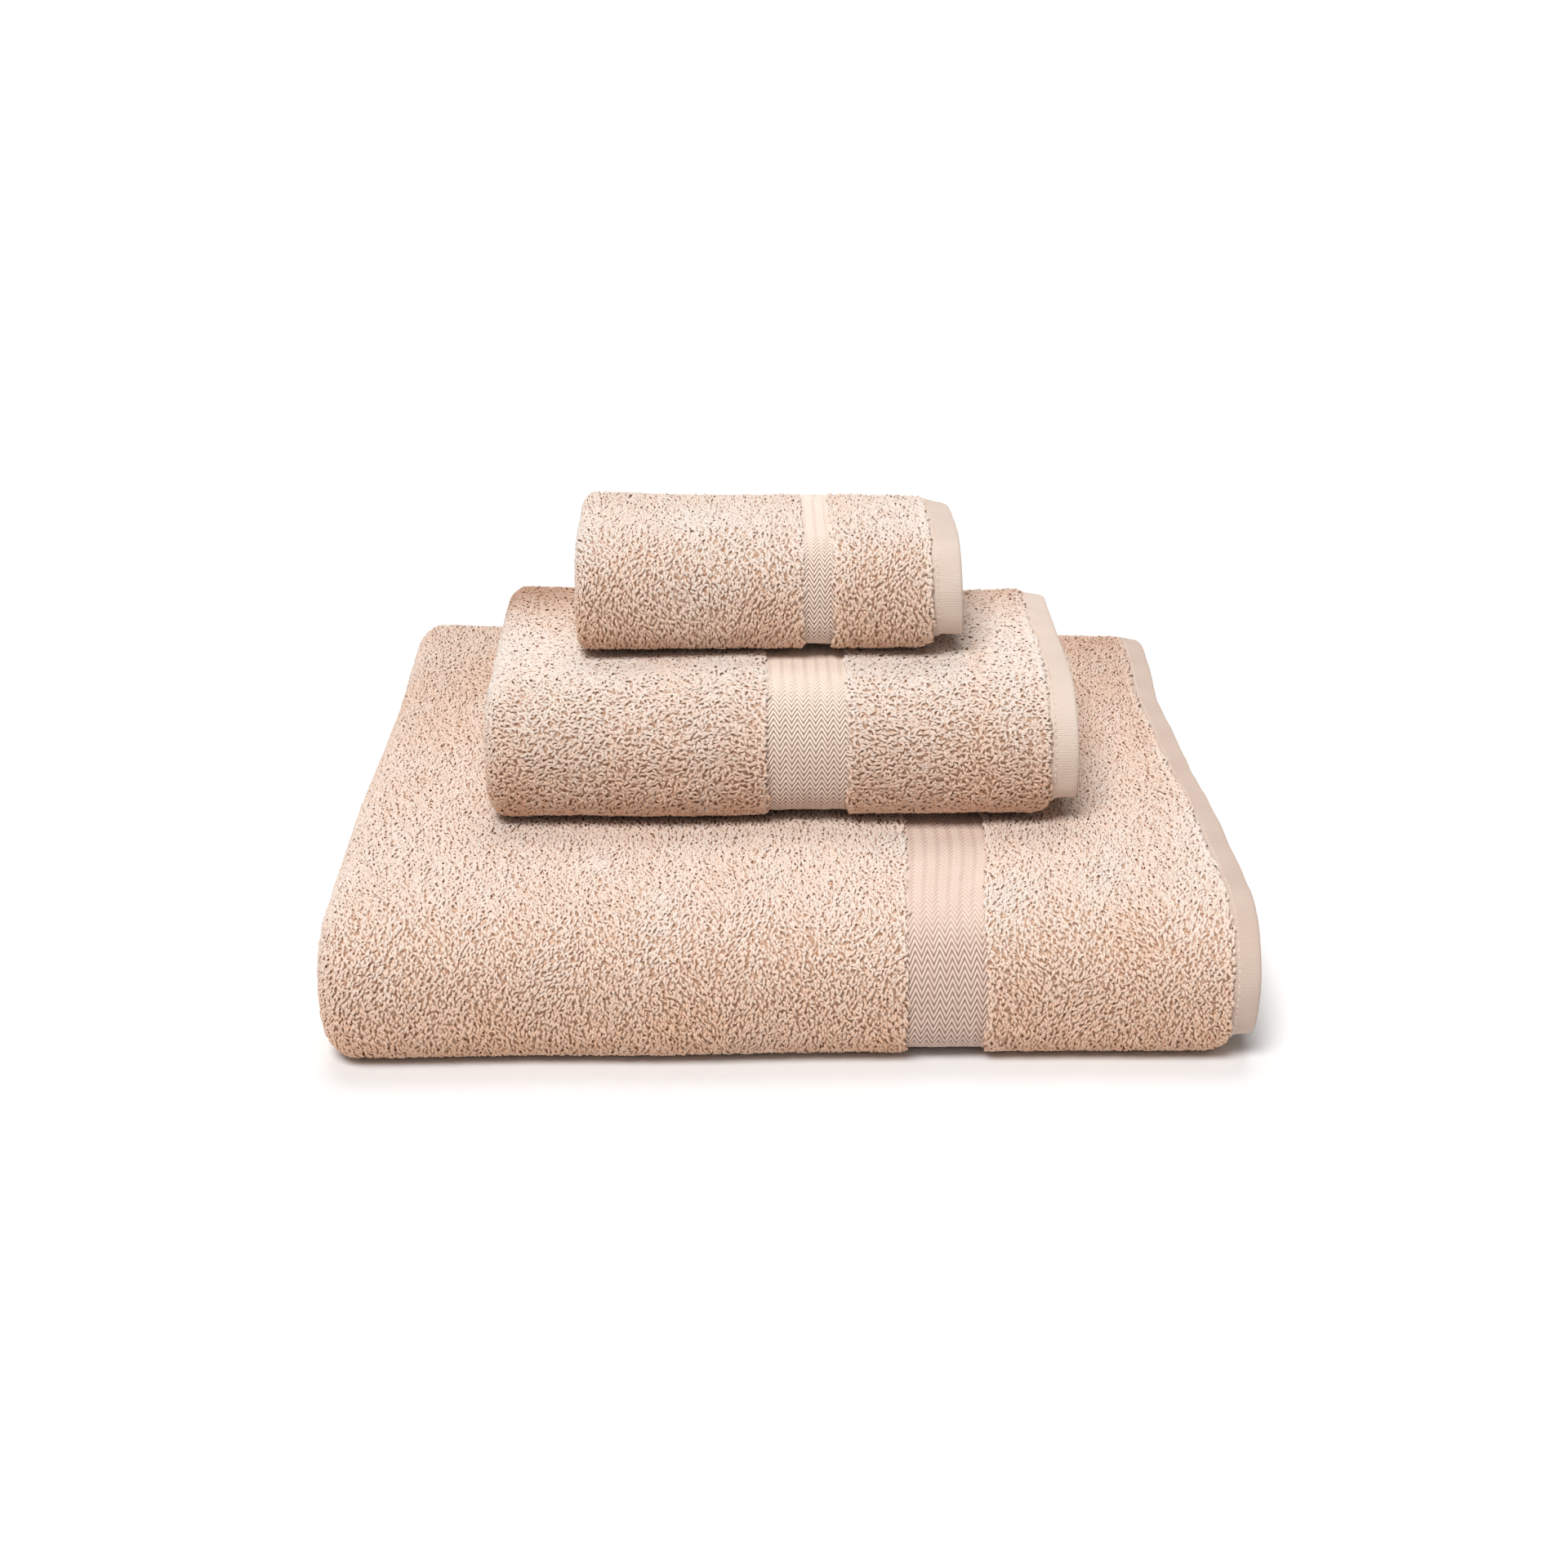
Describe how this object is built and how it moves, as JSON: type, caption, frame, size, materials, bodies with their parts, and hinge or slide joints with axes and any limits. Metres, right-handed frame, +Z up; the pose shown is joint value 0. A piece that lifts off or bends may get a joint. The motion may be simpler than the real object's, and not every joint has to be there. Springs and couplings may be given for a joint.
{
  "type": "bath towel set",
  "caption": "Folded terry towels stacked by size, each with a rounded front fold, a flat-woven zigzag band and a flat end hem.",
  "frame": {"origin": "bottom centre of the whole stack's box, on the surface it stands on", "axes": "+X along the towels' length towards the outer end hems, -Y towards the rounded front folds, +Z up"},
  "size_m": [0.358, 0.355, 0.166],
  "materials": {
    "terry_pile": "looped cotton terry pile, matt",
    "zigzag_band": "flat-woven cotton with a raised zigzag, faint sheen",
    "flat_hem": "flat-woven cotton hem, matt",
    "sewing_thread": "spun polyester sewing thread"
  },
  "bodies": {
    "bath_towel": {"bath_towel_terry": "terry_pile", "bath_towel_band": "zigzag_band", "bath_towel_end_hem": "flat_hem", "bath_towel_inner_end_hem": "flat_hem", "bath_towel_side_hems": "flat_hem", "bath_towel_hem_thread": "sewing_thread"},
    "hand_towel": {"hand_towel_terry": "terry_pile", "hand_towel_band": "zigzag_band", "hand_towel_end_hem": "flat_hem", "hand_towel_inner_end_hem": "flat_hem", "hand_towel_side_hems": "flat_hem", "hand_towel_hem_thread": "sewing_thread"},
    "washcloth": {"washcloth_terry": "terry_pile", "washcloth_band": "zigzag_band", "washcloth_end_hem": "flat_hem", "washcloth_inner_end_hem": "flat_hem", "washcloth_side_hems": "flat_hem", "washcloth_hem_thread": "sewing_thread"}
  },
  "joints": [
    {"name": "hand_towel_lift", "type": "slide", "parent": "bath_towel", "child": "hand_towel", "axis": [0, 0, 1], "range_m": [0, 0.12]},
    {"name": "washcloth_lift", "type": "slide", "parent": "hand_towel", "child": "washcloth", "axis": [0, 0, 1], "range_m": [0, 0.1]}
  ]
}
